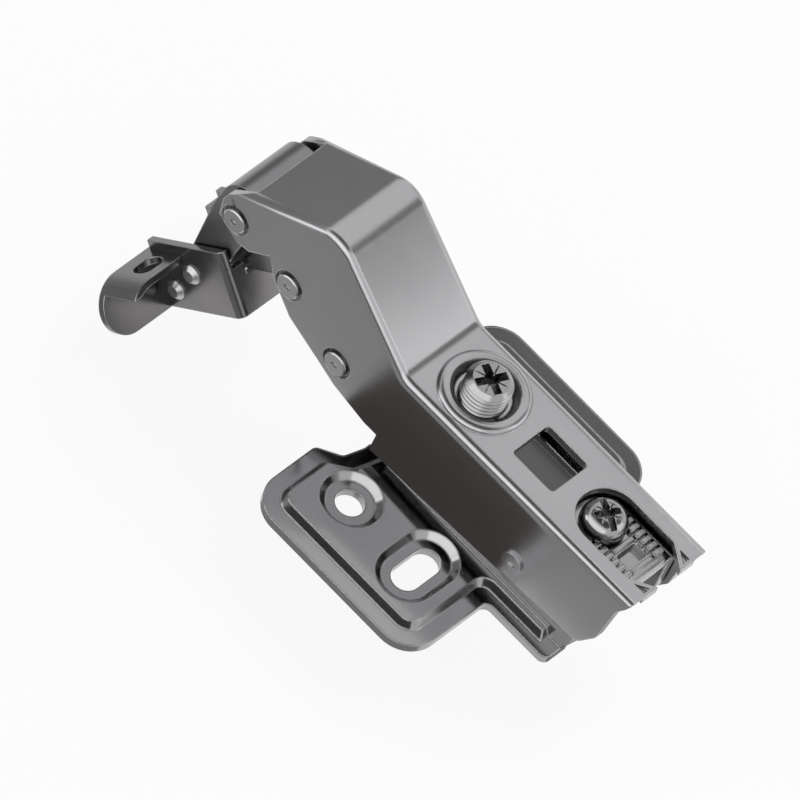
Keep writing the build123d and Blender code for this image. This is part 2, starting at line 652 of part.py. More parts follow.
with BuildPart() as inner_link:
    with BuildSketch(SIDE):
        bend = along_inner(inner_length - INNER_BEND_FROM_EYE, INNER_BOW)
        lane(HEAD_PIVOT, bend, INNER_BAR)
        lane(bend, LOWER_PIVOT, INNER_BAR)
        lane(HEAD_PIVOT, along_inner(TAIL_R - TAIL_LENGTH, TAIL_OFFSET), 2 * TAIL_R)
        with Locations(HEAD_PIVOT):
            Circle(INNER_ARM_EYE_R)
        with Locations(LOWER_PIVOT):
            Circle(INNER_EYE_R)
    extrude(amount=INNER_LINK_WIDTH / 2, both=True)
    across(HEAD_PIVOT, PIN_R + HEAD_PLAY, -ARM_WIDTH, ARM_WIDTH, mode=Mode.SUBTRACT)
    across(LOWER_PIVOT, PIN_R + RUNNING_FIT, -ARM_WIDTH, ARM_WIDTH, mode=Mode.SUBTRACT)
finish(inner_link, "inner_link")

# Door bracket: two walls joined by the rear web
bracket_half = BRACKET_WIDTH / 2
web_front = BRACKET_LENGTH - BRACKET_SHEET
with BuildPart() as frame_bracket:
    with BuildSketch(BRACKET_PLANE):
        with Locations(((WING_SHEET + BRACKET_LENGTH) / 2, -BRACKET_DEPTH / 2)):
            Rectangle(BRACKET_LENGTH - WING_SHEET, BRACKET_DEPTH)
    extrude(amount=bracket_half, both=True)
    wall_edges = rims_at(frame_bracket, bracket_half)
    along = [BRACKET_PLANE.to_local_coords(e.center()).X for e in wall_edges]
    bend_edges = [e for e, x in zip(wall_edges, along) if abs(x - BRACKET_LENGTH) < TOUCH]
    fillet(bend_edges, BRACKET_BEND_R)
    with BuildSketch(BRACKET_PLANE):
        with Locations(((web_front - BEYOND) / 2, -BRACKET_DEPTH / 2)):
            Rectangle(web_front + BEYOND, BRACKET_DEPTH + BEYOND)
    extrude(amount=bracket_half - BRACKET_SHEET, both=True, mode=Mode.SUBTRACT)
    # Opening in the web for the inner link, with a lower step at each side
    web_steps = (
        (bracket_half - WEB_FLANGE, WEB_TOP_DROP),
        (bracket_half - BRACKET_SHEET, FLANGE_TOP_DROP),
    )
    for width, drop in web_steps:
        with BuildSketch(BRACKET_PLANE):
            with Locations((BRACKET_LENGTH, 0)):
                Rectangle(2 * BEYOND, 2 * drop)
        extrude(amount=width, both=True, mode=Mode.SUBTRACT)
    for pivot in (UPPER_PIVOT, LOWER_PIVOT):
        across(pivot, PIN_R, -BRACKET_WIDTH, BRACKET_WIDTH, mode=Mode.SUBTRACT)
finish(frame_bracket, "frame_bracket")

# Wing plate across the front of the bracket, with a folded flange on each side
wing_plane = Plane(origin=BRACKET_ORIGIN, x_dir=(0, 1, 0), z_dir=ALONG_BRACKET)
wing_middle = -WING_TOP_DROP - WING_HEIGHT / 2
flange_start = bracket_half + WING_SEAT
with BuildPart() as wing_plate:
    with BuildSketch(wing_plane):
        with Locations((0, wing_middle)):
            SlotOverall(WING_SPAN, WING_HEIGHT)
    extrude(amount=WING_SHEET)
    # Notch that the inner link swings through as the door closes
    with BuildSketch(wing_plane):
        with Locations((0, -WING_TOP_DROP)):
            Rectangle(INNER_LINK_WIDTH + 2 * WING_NOTCH_GAP, 2 * WING_NOTCH_DEPTH)
    extrude(amount=WING_SHEET, mode=Mode.SUBTRACT)
    # Flanges follow the rounded nose, outside the bracket walls
    with BuildSketch(wing_plane):
        with Locations((0, wing_middle)):
            SlotOverall(WING_SPAN, WING_HEIGHT)
            SlotOverall(WING_SPAN - 2 * WING_SHEET, WING_HEIGHT - 2 * WING_SHEET, mode=Mode.SUBTRACT)
            Rectangle(2 * flange_start, WING_HEIGHT, mode=Mode.SUBTRACT)
        with Locations((0, -WING_TOP_DROP)):
            Rectangle(WING_SPAN, 2 * WING_FLANGE_DROP, mode=Mode.INTERSECT)
    extrude(amount=WING_FLANGE)
    flange_plane = Plane(
        origin=BRACKET_PLANE.from_local_coords(Vector(0, -WING_TOP_DROP, 0)),
        x_dir=ALONG_BRACKET,
        z_dir=(-ALONG_BRACKET[2], 0, ALONG_BRACKET[0]),
    )
    with BuildSketch(flange_plane):
        with Locations((WING_HOLE_BACK, -WING_HOLE_Y), (WING_HOLE_BACK, WING_HOLE_Y)):
            SlotCenterToCenter(WING_HOLE_TRAVEL, WING_HOLE_WIDTH, rotation=90)
    extrude(amount=-2 * WING_SHEET, mode=Mode.SUBTRACT)
finish(wing_plate, "wing_plate")

# Pins of the bracket: short ones for the outer link's legs, one long one for the inner link
pin_end = bracket_half + PIN_HEAD_OUT
for name, side in (("upper_pin_near", -1), ("upper_pin_far", 1)):
    with BuildPart() as pin:
        across(UPPER_PIVOT, PIN_R, *sorted((side * leg_inner, side * pin_end)))
        chamfer(rims_at(pin, pin_end), PIN_CROWN)
    finish(pin, name)
with BuildPart() as lower_pin:
    across(LOWER_PIVOT, PIN_R, -pin_end, pin_end)
    chamfer(rims_at(lower_pin, pin_end), PIN_CROWN)
finish(lower_pin, "lower_pin")

# Damper: cylinder, front plug, piston on its rod and the cap that the inner link pushes
tilt = radians(DAMPER_TILT)
damper_foot = (DAMPER_PIVOT[0] - sin(tilt) * DAMPER_LIFT, DAMPER_PIVOT[1] + cos(tilt) * DAMPER_LIFT)
damper_length = DAMPER_BACK - DAMPER_FRONT
bore_r = DAMPER_R - DAMPER_WALL
piston_front = DAMPER_FRONT + PLUG_T + CLEAR


def damper_plane(station):
    """Plane across the damper at a station along its axis, facing the back."""
    return Plane(
        origin=(damper_foot[0] + cos(tilt) * station, 0, damper_foot[1] + sin(tilt) * station),
        x_dir=(0, 1, 0),
        z_dir=(cos(tilt), 0, sin(tilt)),
    )


with BuildPart() as damper_cylinder:
    with BuildSketch(damper_plane(DAMPER_FRONT)):
        Circle(DAMPER_R)
    extrude(amount=damper_length)
    with BuildSketch(damper_plane(DAMPER_FRONT)):
        Circle(bore_r)
    extrude(amount=damper_length - DAMPER_FLOOR, mode=Mode.SUBTRACT)
finish(damper_cylinder, "damper_cylinder")

with BuildPart() as damper_plug:
    with BuildSketch(damper_plane(DAMPER_FRONT)):
        Circle(bore_r)
        Circle(ROD_R + RUNNING_FIT, mode=Mode.SUBTRACT)
    extrude(amount=PLUG_T)
finish(damper_plug, "damper_plug")

with BuildPart() as damper_piston:
    with BuildSketch(damper_plane(piston_front)):
        Circle(bore_r - RUNNING_FIT)
        Circle(ROD_R, mode=Mode.SUBTRACT)
    extrude(amount=PISTON_T)
finish(damper_piston, "damper_piston")

with BuildPart() as damper_rod:
    with BuildSketch(damper_plane(CAP_FACE + CAP_SKIN)):
        Circle(ROD_R)
    extrude(amount=piston_front + PISTON_T - CAP_FACE - CAP_SKIN)
finish(damper_rod, "damper_rod")

with BuildPart() as push_cap:
    with BuildSketch(damper_plane(CAP_FACE)):
        Circle(CAP_R)
    extrude(amount=CAP_T)
    with BuildSketch(damper_plane(CAP_FACE + CAP_SKIN)):
        Circle(ROD_R)
    extrude(amount=CAP_T, mode=Mode.SUBTRACT)
finish(push_cap, "push_cap")

# Plastic cradle that hangs the damper on its rivet
with BuildPart() as damper_cradle:
    with BuildSketch(SIDE):
        lane(DAMPER_PIVOT, damper_foot, CRADLE_NECK)
        with Locations(damper_foot):
            Rectangle(CRADLE_LENGTH, 2 * (DAMPER_R + CRADLE_WALL), rotation=DAMPER_TILT)
    extrude(amount=DAMPER_R + CRADLE_WALL, both=True)
    with BuildSketch(damper_plane(-damper_length)):
        Circle(DAMPER_R + RUNNING_FIT)
    extrude(amount=2 * damper_length, mode=Mode.SUBTRACT)
    across(DAMPER_PIVOT, PIN_R + RUNNING_FIT, -ARM_WIDTH, ARM_WIDTH, mode=Mode.SUBTRACT)
finish(damper_cradle, "damper_cradle")

# Closing spring: a bent strip hooked under the damper rivet
spring_path = [(DAMPER_PIVOT[0] + x, DAMPER_PIVOT[1] + z) for x, z in SPRING_BENDS]
with BuildPart() as closing_spring:
    with BuildSketch(SIDE):
        for start, end in zip(spring_path, spring_path[1:]):
            lane(start, end, SPRING_T)
    extrude(amount=SPRING_WIDTH / 2, both=True)
finish(closing_spring, "closing_spring")
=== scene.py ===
# %% [markdown]
# # A soft-close hinge for aluminium frame doors
# The object is a concealed cabinet hinge of pressed steel with a black-nickel plating.
# A tall mounting plate carries a cranked arm, two links carry the door bracket, and a small
# oil damper sits under the crank. The steel parts arrive as a finished model, so this lesson
# gives them their surfaces and makes what only the eye needs: screw threads, cross recesses,
# the teeth of the clamp plate and the soft boss of the arm. All sizes are in metres, so the
# numbers read from a drawing are written in millimetres, times MM.

# %% Load the model and keep its box
import math

import bpy
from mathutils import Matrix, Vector


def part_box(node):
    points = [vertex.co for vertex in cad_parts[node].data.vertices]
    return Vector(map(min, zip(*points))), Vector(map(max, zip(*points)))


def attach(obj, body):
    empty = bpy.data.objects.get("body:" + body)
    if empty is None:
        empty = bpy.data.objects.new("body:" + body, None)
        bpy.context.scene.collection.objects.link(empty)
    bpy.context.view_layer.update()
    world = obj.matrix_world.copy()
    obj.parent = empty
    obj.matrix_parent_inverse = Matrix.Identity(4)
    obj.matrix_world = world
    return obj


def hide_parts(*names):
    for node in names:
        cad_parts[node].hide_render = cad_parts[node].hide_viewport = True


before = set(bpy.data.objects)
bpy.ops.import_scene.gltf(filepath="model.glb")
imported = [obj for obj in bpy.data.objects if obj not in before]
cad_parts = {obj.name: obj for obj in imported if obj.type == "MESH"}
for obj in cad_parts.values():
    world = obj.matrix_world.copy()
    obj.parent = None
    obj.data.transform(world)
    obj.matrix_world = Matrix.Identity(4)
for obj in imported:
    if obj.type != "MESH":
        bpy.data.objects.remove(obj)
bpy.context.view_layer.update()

MM = 0.001
scene = bpy.context.scene
scene.view_settings.view_transform = "Standard"
print("steel parts:", len(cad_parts))

# %% [markdown]
# ## The camera
# The photograph was taken from above the near side with a long lens, and the camera was
# rolled so that the hinge lies across the frame. A long lens far away keeps the edges nearly
# parallel, as they are in the photograph. The roll is built from two directions: level right
# and tilted up, mixed by the roll angle. The lens follows from the width of the frame at the
# hinge's distance.

# %% Camera
AZIMUTH, ELEVATION, ROLL = math.radians(21.95), math.radians(54.0), math.radians(27.25)
AIM = Vector((-13.0, 1.46, 4.51)) * MM
DISTANCE = 3.072
FRAME_WIDTH = 106.8 * MM
FARTHEST_SEEN = 10
back = Vector((
    math.sin(AZIMUTH) * math.cos(ELEVATION),
    -math.cos(AZIMUTH) * math.cos(ELEVATION),
    math.sin(ELEVATION),
))
level = Vector((math.cos(AZIMUTH), math.sin(AZIMUTH), 0))
tilted = back.cross(level)
right = level * math.cos(ROLL) + tilted * math.sin(ROLL)
up = back.cross(right)
bpy.ops.object.camera_add(location=AIM + back * DISTANCE)
camera = bpy.context.object
camera.name = "photo_camera"
turn = camera.matrix_world.to_3x3()
turn.col[0], turn.col[1], turn.col[2] = right, up, back
camera.rotation_euler = turn.to_euler()
camera.data.lens = camera.data.sensor_width * DISTANCE / FRAME_WIDTH
camera.data.clip_end = FARTHEST_SEEN
scene.camera = camera
print("lens:", round(camera.data.lens, 1), "mm")

# %% [markdown]
# ## The studio
# Plated steel shows its surroundings, so the studio is built around reflections. The world is
# white, a broad lamp hangs behind and above, and a smaller one fills from the near side. Cards
# of different tones stand where a photographer would put flags and reflectors: they are seen
# only by glossy rays, give the sides of the steel their deep tones, and draw the bright lines
# along the bends.
#
# The world has two tones. What the camera and the steel's reflections see is plain white, and
# what lights the hinge is dimmer and a little blue, like a tent of cloth.

# %% World
FILL_COLOUR, FILL_STRENGTH = (0.95, 0.97, 1.0, 1), 0.55
world = bpy.data.worlds.new("studio_world")
scene.world = world
world.use_nodes = True
nodes, links = world.node_tree.nodes, world.node_tree.links
nodes.clear()
seen = nodes.new("ShaderNodeBackground")
seen.inputs["Color"].default_value = (1, 1, 1, 1)
seen.inputs["Strength"].default_value = 1.0
lit = nodes.new("ShaderNodeBackground")
lit.inputs["Color"].default_value = FILL_COLOUR
lit.inputs["Strength"].default_value = FILL_STRENGTH
rays = nodes.new("ShaderNodeLightPath")
camera_or_glossy = nodes.new("ShaderNodeMath")
camera_or_glossy.operation = "MAXIMUM"
any_sight = nodes.new("ShaderNodeMath")
any_sight.operation = "MAXIMUM"
choose = nodes.new("ShaderNodeMixShader")
out = nodes.new("ShaderNodeOutputWorld")
links.new(rays.outputs["Is Camera Ray"], camera_or_glossy.inputs[0])
links.new(rays.outputs["Is Glossy Ray"], camera_or_glossy.inputs[1])
links.new(camera_or_glossy.outputs[0], any_sight.inputs[0])
links.new(rays.outputs["Is Transmission Ray"], any_sight.inputs[1])
links.new(any_sight.outputs[0], choose.inputs["Fac"])
links.new(lit.outputs[0], choose.inputs[1])
links.new(seen.outputs[0], choose.inputs[2])
links.new(choose.outputs[0], out.inputs["Surface"])
print("world:", world.name)

# %% [markdown]
# The floor is pale and hangs 12 mm below the plate's underside. To the camera and in
# reflections it glows faintly of itself, which blends it into the white world. To the lamps
# it is matt, so it still takes the hinge's soft shadow.

# %% Floor
FLOOR_SIZE, FLOOR_HEIGHT = 4.0, -0.012
FLOOR_TONE = (0.92, 0.92, 0.92, 1)
GLOW_SHARE = 0.9
bpy.ops.mesh.primitive_plane_add(size=FLOOR_SIZE, location=(0, 0, FLOOR_HEIGHT))
floor = bpy.context.object
floor.name = "studio_floor"
floor_paint = bpy.data.materials.new("pale_floor")
floor_paint.use_nodes = True
nodes, links = floor_paint.node_tree.nodes, floor_paint.node_tree.links
nodes.clear()
matt = nodes.new("ShaderNodeBsdfDiffuse")
matt.inputs["Color"].default_value = FLOOR_TONE
glow = nodes.new("ShaderNodeEmission")
glow.inputs["Strength"].default_value = 1.0
rays = nodes.new("ShaderNodeLightPath")
sight = nodes.new("ShaderNodeMath")
sight.operation = "MAXIMUM"
share = nodes.new("ShaderNodeMath")
share.operation = "MULTIPLY"
share.inputs[1].default_value = GLOW_SHARE
choose = nodes.new("ShaderNodeMixShader")
out = nodes.new("ShaderNodeOutputMaterial")
links.new(rays.outputs["Is Camera Ray"], sight.inputs[0])
links.new(rays.outputs["Is Glossy Ray"], sight.inputs[1])
links.new(sight.outputs[0], share.inputs[0])
links.new(share.outputs[0], choose.inputs["Fac"])
links.new(matt.outputs[0], choose.inputs[1])
links.new(glow.outputs[0], choose.inputs[2])
links.new(choose.outputs[0], out.inputs["Surface"])
floor.data.materials.append(floor_paint)
print("floor:", floor.name)


# %% Lamps
def softbox(name, place, size, watts):
    """A square lamp that looks at the middle of the hinge."""
    bpy.ops.object.light_add(type="AREA", location=place)
    lamp = bpy.context.object
    lamp.name = name
    lamp.data.size = size
    lamp.data.energy = watts
    lamp.visible_glossy = False
    lamp.rotation_euler = (AIM - Vector(place)).to_track_quat("-Z", "Y").to_euler()
    print(name, watts, "W")


softbox("top_lamp", (0.15, 0.55, 0.95), 0.7, 4.0)
softbox("near_lamp", (-0.7, -0.8, 0.9), 0.35, 2.0)

# %% [markdown]
# A card is an unlit plane of one tone. The tone decides what the steel shows where it mirrors
# that card: under 1 it is a dark flag, over 1 a reflector. Which card a face mirrors follows
# from its slope: the top faces look up and back, the bend beside them sweeps over the sky
# towards the near side, and the side walls look down at the floor. The last card stands
# square to the line from the hinge, and lights the edge of the head.


# %% Cards
def tone_card(name, place, size, turn_xyz, tone):
    """A plain card that only glossy rays see, beside the camera's view."""
    bpy.ops.mesh.primitive_plane_add(size=1.0, location=place, rotation=turn_xyz)
    card = bpy.context.object
    card.name = name
    card.scale = (size[0], size[1], 1)
    paint = bpy.data.materials.new(name + "_paint")
    paint.use_nodes = True
    tree = paint.node_tree
    tree.nodes.clear()
    shade = tree.nodes.new("ShaderNodeEmission")
    shade.inputs["Color"].default_value = (tone, tone, tone, 1)
    tree.links.new(shade.outputs[0], tree.nodes.new("ShaderNodeOutputMaterial").inputs["Surface"])
    card.data.materials.append(paint)
    for ray in ("camera", "diffuse", "transmission", "volume_scatter", "shadow"):
        setattr(card, "visible_" + ray, False)
    return card


# Each row is a name, a place, a size, a turn in degrees and a tone.
CARDS = (
    ("near_flag", (0, -0.6, 0.1), (2.4, 0.26), (90, 0, 0), 0.06),
    ("near_reflector", (-0.19, -0.635, 0.53), (2.0, 0.5), (50, 0, 0), 1.9),
    ("sky_flag", (-0.2, -0.03, 0.9), (1.6, 0.62), (0, 0, 0), 0.1),
    ("left_flag", (-0.6, 0.2, 0.1), (0.5, 1.6), (0, 90, 0), 0.27),
    ("rear_reflector", (0.62, 0.48, 0.4), (0.5, 0.5), (-50, 0, -52), 1.7),
    ("crest_flag", (0.057, 0.082, 0.117), (0.066, 0.066), (-50, 0, -52), 0.22),
    ("far_flag", (-0.013, 0.052, 0.051), (0.05, 0.022), (0, 0, 0), 0.25),
    ("floor_flag", (0, -0.16, -0.011), (0.6, 0.28), (0, 0, 0), 0.42),
)
for name, place, size, degrees, tone in CARDS:
    tone_card(name, place, size, [math.radians(angle) for angle in degrees], tone)
head_card = Vector((-0.355, -0.2475, 0.1035))
facing_hinge = head_card.to_track_quat("Z", "Y").to_euler()
tone_card("head_reflector", head_card, (0.15, 0.16), facing_hinge, 2.2)
print("cards:", len(CARDS) + 1)

# %% [markdown]
# The arm's long side looks down on the near wing, and in the photograph it is nearly black
# there, with a warm cast. The card that does this lies just over the wing and is dark only from
# above: from below it is clear, so the wing itself still sees the sky through it.

# %% One-sided shade
WARM_DARK = (0.085, 0.072, 0.068, 1)
shade_card = tone_card("wing_shade", (-0.002, -0.0163, 0.0042), (0.031, 0.0165), (0, 0, 0), 0.05)
tree = shade_card.data.materials[0].node_tree
dark_side = next(node for node in tree.nodes if node.type == "EMISSION")
dark_side.inputs["Color"].default_value = WARM_DARK
surface = next(node for node in tree.nodes if node.type == "OUTPUT_MATERIAL")
facing = tree.nodes.new("ShaderNodeNewGeometry")
choose = tree.nodes.new("ShaderNodeMixShader")
tree.links.new(facing.outputs["Backfacing"], choose.inputs["Fac"])
tree.links.new(dark_side.outputs[0], choose.inputs[1])
tree.links.new(tree.nodes.new("ShaderNodeBsdfTransparent").outputs[0], choose.inputs[2])
tree.links.new(choose.outputs[0], surface.inputs["Surface"])
print("one-sided card:", shade_card.name)

# %% [markdown]
# On a real panel no light comes up through the hollow rail. A dark card just under it, unseen
# by the camera, keeps the inside of the rail as black as it is in the photograph.

# %% Shade under the rail
rail_card = tone_card("under_card", (0.0115, 0, -0.0012), (0.046, 0.0165), (0, 0, 0), 0.3)
rail_card.visible_diffuse = True
rail_card.visible_shadow = True
print("card under the rail:", rail_card.name)

# %% [markdown]
# ## Shared effects
# Every pressed part has the same history: rolled sheet, bent and plated, then handled. Three
# effects are made once as node groups and placed in each material with its own values: a fine
# grain from rolling, soft clouds in the plating, and a mask that finds the edges, where a lighter
# tone stands partly for plating polished by wear and partly for a painted highlight along the
# bends. Each group puts out only a mask, a value or a colour, and the material decides what to
# do with it.


# %% Group maker
MIX_A, MIX_B, MIX_RESULT = 6, 7, 2  # the colour sockets of a Mix node


def start_group(name, inputs, outputs):
    """A shader node group with its sockets, and its two end nodes."""
    group = bpy.data.node_groups.new(name, "ShaderNodeTree")
    for label, kind, value in inputs:
        socket = group.interface.new_socket(label, in_out="INPUT", socket_type=kind)
        if value is not None:
            socket.default_value = value
    for label, kind in outputs:
        group.interface.new_socket(label, in_out="OUTPUT", socket_type=kind)
    print("group:", name)
    return group, group.nodes.new("NodeGroupInput"), group.nodes.new("NodeGroupOutput")


# %% [markdown]
# The grain is a fine noise, stretched along X, the way the sheet ran through the rollers.

# %% Rolled grain
grain_group, given, result = start_group(
    "rolled_grain",
    [
        ("Vector", "NodeSocketVector", None),
        ("Scale", "NodeSocketFloat", 900.0),
        ("Stretch", "NodeSocketFloat", 0.2),
    ],
    [("Grain", "NodeSocketFloat")],
)
squeeze = grain_group.nodes.new("ShaderNodeCombineXYZ")
squeeze.inputs["Y"].default_value = 1.0
squeeze.inputs["Z"].default_value = 1.0
stretched = grain_group.nodes.new("ShaderNodeVectorMath")
stretched.operation = "MULTIPLY"
noise = grain_group.nodes.new("ShaderNodeTexNoise")
noise.inputs["Detail"].default_value = 4.0
noise.inputs["Roughness"].default_value = 0.65
grain_group.links.new(given.outputs["Stretch"], squeeze.inputs["X"])
grain_group.links.new(given.outputs["Vector"], stretched.inputs[0])
grain_group.links.new(squeeze.outputs[0], stretched.inputs[1])
grain_group.links.new(stretched.outputs[0], noise.inputs["Vector"])
grain_group.links.new(given.outputs["Scale"], noise.inputs["Scale"])
grain_group.links.new(noise.outputs["Fac"], result.inputs["Grain"])

# %% [markdown]
# The clouds are a broad noise that mixes a dark and a light tone of the same metal.

# %% Plating clouds
cloud_group, given, result = start_group(
    "plating_clouds",
    [
        ("Vector", "NodeSocketVector", None),
        ("Scale", "NodeSocketFloat", 60.0),
        ("Dark", "NodeSocketColor", (0.3, 0.3, 0.31, 1)),
        ("Light", "NodeSocketColor", (0.4, 0.4, 0.41, 1)),
    ],
    [("Color", "NodeSocketColor")],
)
cloud = cloud_group.nodes.new("ShaderNodeTexNoise")
cloud.inputs["Detail"].default_value = 3.0
cloud.inputs["Roughness"].default_value = 0.55
tint = cloud_group.nodes.new("ShaderNodeMix")
tint.data_type = "RGBA"
cloud_group.links.new(given.outputs["Vector"], cloud.inputs["Vector"])
cloud_group.links.new(given.outputs["Scale"], cloud.inputs["Scale"])
cloud_group.links.new(cloud.outputs["Fac"], tint.inputs["Factor"])
cloud_group.links.new(given.outputs["Dark"], tint.inputs[MIX_A])
cloud_group.links.new(given.outputs["Light"], tint.inputs[MIX_B])
cloud_group.links.new(tint.outputs[MIX_RESULT], result.inputs["Color"])

# %% [markdown]
# The edge mask compares the true normal with one that is rounded over the edges. Where the
# two disagree there is an edge, and a noise breaks it up. The materials lighten the edges it
# finds, partly for plating polished by wear and partly as a painted highlight along the bends.

# %% Edge mask
BEVEL_SAMPLES = 6
FLAT_AGREEMENT, EDGE_AGREEMENT = 0.995, 0.85
edge_wear_and_highlight_group, given, result = start_group(
    "edge_wear_and_highlight_mask",
    [
        ("Vector", "NodeSocketVector", None),
        ("Width", "NodeSocketFloat", 0.0003),
        ("Break Up", "NodeSocketFloat", 700.0),
    ],
    [("Edge", "NodeSocketFloat")],
)
round_normal = edge_wear_and_highlight_group.nodes.new("ShaderNodeBevel")
round_normal.samples = BEVEL_SAMPLES
surface = edge_wear_and_highlight_group.nodes.new("ShaderNodeNewGeometry")
agree = edge_wear_and_highlight_group.nodes.new("ShaderNodeVectorMath")
agree.operation = "DOT_PRODUCT"
found = edge_wear_and_highlight_group.nodes.new("ShaderNodeMapRange")
found.inputs["From Min"].default_value = FLAT_AGREEMENT
found.inputs["From Max"].default_value = EDGE_AGREEMENT
speckle = edge_wear_and_highlight_group.nodes.new("ShaderNodeTexNoise")
# The edges this mask finds are lightened: partly wear polish, partly a painted highlight.
wear_and_highlight = edge_wear_and_highlight_group.nodes.new("ShaderNodeMath")
wear_and_highlight.operation = "MULTIPLY"
edge_wear_and_highlight_group.links.new(given.outputs["Width"], round_normal.inputs["Radius"])
edge_wear_and_highlight_group.links.new(round_normal.outputs[0], agree.inputs[0])
edge_wear_and_highlight_group.links.new(surface.outputs["Normal"], agree.inputs[1])
edge_wear_and_highlight_group.links.new(agree.outputs["Value"], found.inputs["Value"])
edge_wear_and_highlight_group.links.new(given.outputs["Vector"], speckle.inputs["Vector"])
edge_wear_and_highlight_group.links.new(given.outputs["Break Up"], speckle.inputs["Scale"])
edge_wear_and_highlight_group.links.new(found.outputs["Result"], wear_and_highlight.inputs[0])
edge_wear_and_highlight_group.links.new(speckle.outputs["Fac"], wear_and_highlight.inputs[1])
edge_wear_and_highlight_group.links.new(wear_and_highlight.outputs[0], result.inputs["Edge"])

# %% [markdown]
# ## Finishes
# Black nickel is a dark mirror under a haze. Its colour comes from the metal itself, so the
# shader is fully metallic with a grey base, and the haze is its roughness. Every plated part
# is built the same way with its own tone, so one recipe takes the values and places the
# three effects. The grain drives both the roughness and a very low relief.


# %% Plated metal recipe
RELIEF_DEPTH = 0.02 * MM


def plated(name, dark, light, edge_wear_and_highlight_tone, rough, bump=0.05, edge=0.25):
    """A plated steel: clouds of tone, rolled grain in roughness and relief, and lighter edges,
    partly wear and partly a painted highlight.
    """
    metal = bpy.data.materials.new(name)
    metal.use_nodes = True
    tree = metal.node_tree
    shader = tree.nodes["Principled BSDF"]
    place = tree.nodes.new("ShaderNodeTexCoord")
    clouds = tree.nodes.new("ShaderNodeGroup")
    clouds.node_tree = cloud_group
    clouds.inputs["Dark"].default_value = (*dark, 1)
    clouds.inputs["Light"].default_value = (*light, 1)
    grain = tree.nodes.new("ShaderNodeGroup")
    grain.node_tree = grain_group
    edge_wear_and_highlight = tree.nodes.new("ShaderNodeGroup")
    edge_wear_and_highlight.node_tree = edge_wear_and_highlight_group
    edge_wear_and_highlight.inputs["Width"].default_value = edge * MM
    # The lighter edge tone is partly wear and partly a painted highlight along the bends.
    colour = tree.nodes.new("ShaderNodeMix")
    colour.data_type = "RGBA"
    colour.inputs[MIX_B].default_value = (*edge_wear_and_highlight_tone, 1)
    haze = tree.nodes.new("ShaderNodeMapRange")
    haze.inputs["To Min"].default_value = rough[0]
    haze.inputs["To Max"].default_value = rough[1]
    soft_edge = tree.nodes.new("ShaderNodeBevel")
    soft_edge.samples = BEVEL_SAMPLES
    soft_edge.inputs["Radius"].default_value = edge * MM
    relief = tree.nodes.new("ShaderNodeBump")
    relief.inputs["Strength"].default_value = bump
    relief.inputs["Distance"].default_value = RELIEF_DEPTH
    for group in (clouds, grain, edge_wear_and_highlight):
        tree.links.new(place.outputs["Object"], group.inputs["Vector"])
    tree.links.new(clouds.outputs["Color"], colour.inputs[MIX_A])
    tree.links.new(edge_wear_and_highlight.outputs["Edge"], colour.inputs["Factor"])
    tree.links.new(colour.outputs[MIX_RESULT], shader.inputs["Base Color"])
    tree.links.new(grain.outputs["Grain"], haze.inputs["Value"])
    tree.links.new(haze.outputs["Result"], shader.inputs["Roughness"])
    tree.links.new(grain.outputs["Grain"], relief.inputs["Height"])
    tree.links.new(soft_edge.outputs[0], relief.inputs["Normal"])
    tree.links.new(relief.outputs[0], shader.inputs["Normal"])
    shader.inputs["Metallic"].default_value = 1.0
    return metal


# %% [markdown]
# Each metal below is given by the dark and the light tone of its clouds, the tone of its
# lighter edges, which stands partly for wear polish and partly for a painted highlight, and the
# range of its roughness. The bump is the strength of the grain, and the edge is the width of
# the lighter edges in millimetres.

# %% Plated metals
# The third colour of each metal is its lighter edge: partly wear, partly a painted highlight.
arm_metal = plated(
    "arm_metal", (0.38, 0.38, 0.39), (0.46, 0.46, 0.47), (0.7, 0.7, 0.71), (0.22, 0.28),
    bump=0.02, edge=0.3,
)
# The mounting plate has the same plating as the arm; its darker tones are painted shade, as it
# sits low under the arm.
plate_metal = plated(
    "plate_metal", (0.29, 0.29, 0.295), (0.39, 0.39, 0.395), (0.5, 0.5, 0.51), (0.11, 0.18),
    bump=0.02, edge=0.45,
)
link_metal = plated(
    "link_metal", (0.2, 0.2, 0.205), (0.3, 0.3, 0.31), (0.65, 0.65, 0.66), (0.24, 0.36),
    bump=0.1,
)
bracket_metal = plated(
    "bracket_metal", (0.15, 0.145, 0.145), (0.24, 0.23, 0.23), (0.7, 0.69, 0.68), (0.16, 0.28),
)
rivet_metal = plated(
    "rivet_metal", (0.42, 0.42, 0.43), (0.52, 0.52, 0.53), (0.75, 0.75, 0.76), (0.25, 0.4),
    edge=0.15,
)
screw_metal = plated(
    "screw_metal", (0.27, 0.27, 0.27), (0.42, 0.42, 0.42), (0.85, 0.85, 0.84), (0.12, 0.24),
    edge=0.12,
)
clamp_metal = plated(
    "clamp_metal", (0.3, 0.3, 0.3), (0.42, 0.42, 0.42), (0.85, 0.85, 0.84), (0.16, 0.28),
    edge=0.1,
)
damper_metal = plated(
    "damper_metal", (0.4, 0.4, 0.41), (0.5, 0.5, 0.51), (0.7, 0.7, 0.7), (0.2, 0.3),
)
spring_metal = plated(
    "spring_metal", (0.2, 0.2, 0.2), (0.3, 0.3, 0.3), (0.5, 0.5, 0.5), (0.3, 0.45),
)
print("materials:", len(bpy.data.materials))

# %% [markdown]
# The cradle, the plug, the piston and the cap of the damper are moulded in black nylon. It
# isn't a metal, so its colour is nearly black, its sheen comes from a middling roughness, and a
# fine pebble in the relief is the texture of the mould.

